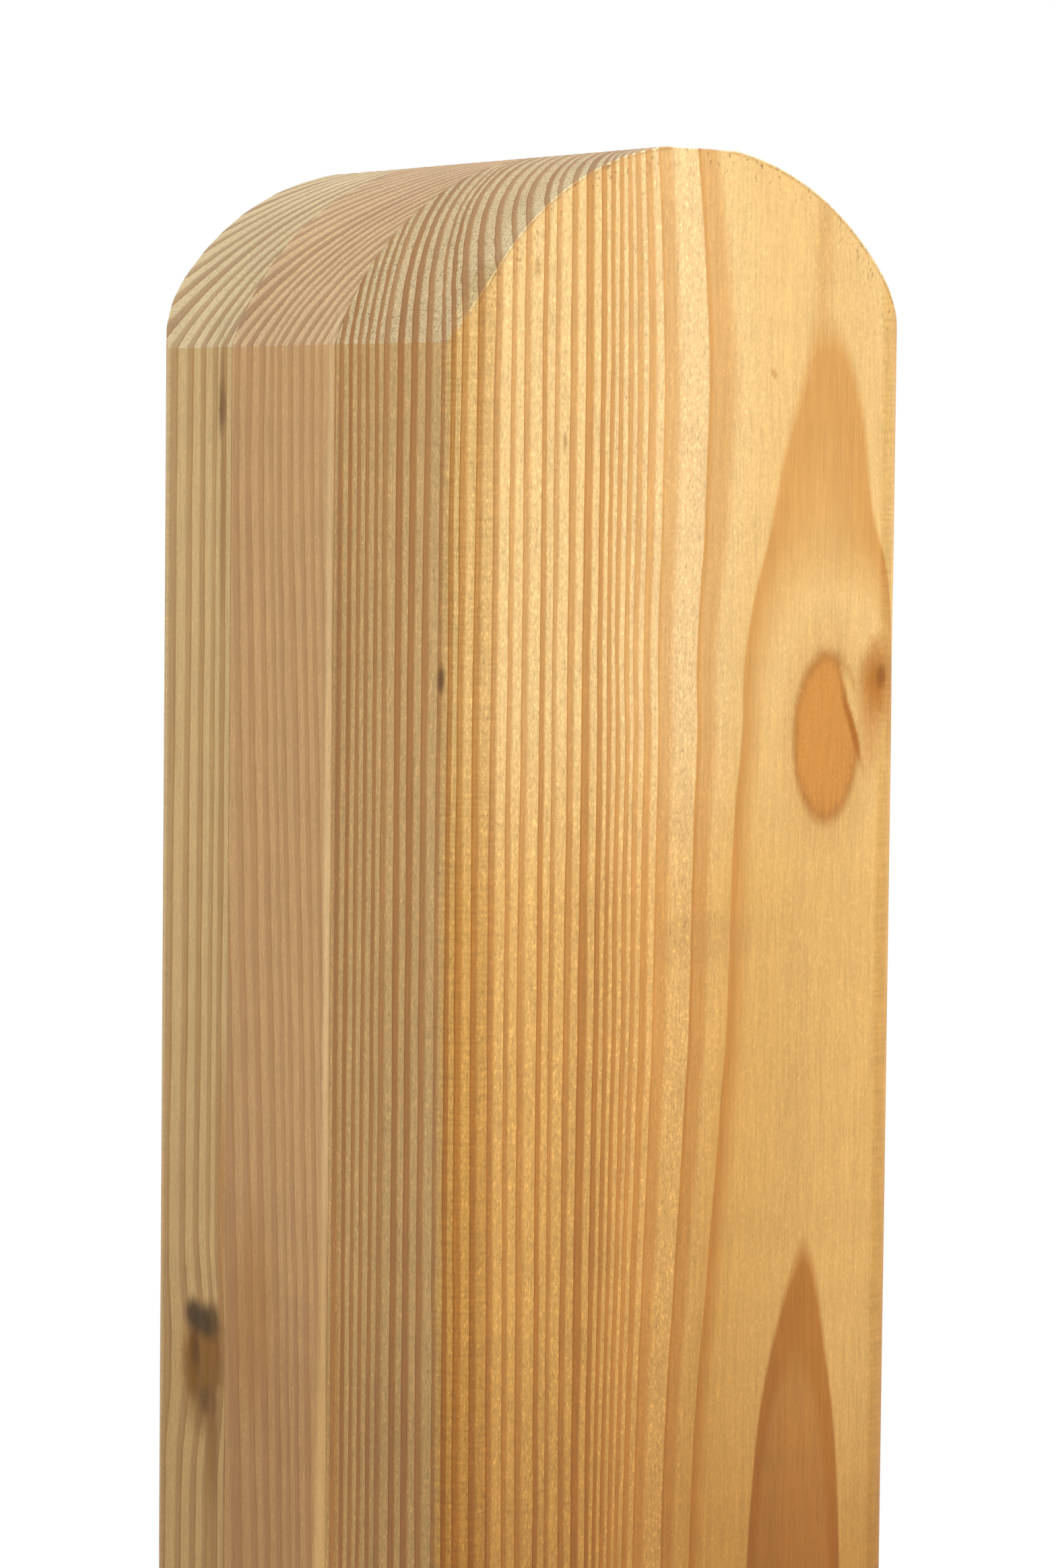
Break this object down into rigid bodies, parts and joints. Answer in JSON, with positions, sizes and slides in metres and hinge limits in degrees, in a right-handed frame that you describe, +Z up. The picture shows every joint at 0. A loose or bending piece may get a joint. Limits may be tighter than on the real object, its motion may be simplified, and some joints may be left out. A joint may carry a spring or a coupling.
{
  "type": "wooden post",
  "caption": "Square softwood post with a rounded head and planed round edges, glued up from boards, for a porch, railing or fence.",
  "frame": {"origin": "centre of the square foot, where the post stands", "axes": "+Z up along the post, -Y out of the front face, X across the front face in the direction of the arched head"},
  "size_m": [0.09, 0.09, 1],
  "materials": {
    "front_board": "planed bare larch, golden, with clear growth rings and knots",
    "middle_board": "planed bare larch, pinker",
    "back_board": "planed bare larch, paler and greener, with a dark knot"
  },
  "bodies": {
    "root": {"front_lamella": "front_board", "middle_lamella": "middle_board", "back_lamella": "back_board"}
  },
  "joints": []
}
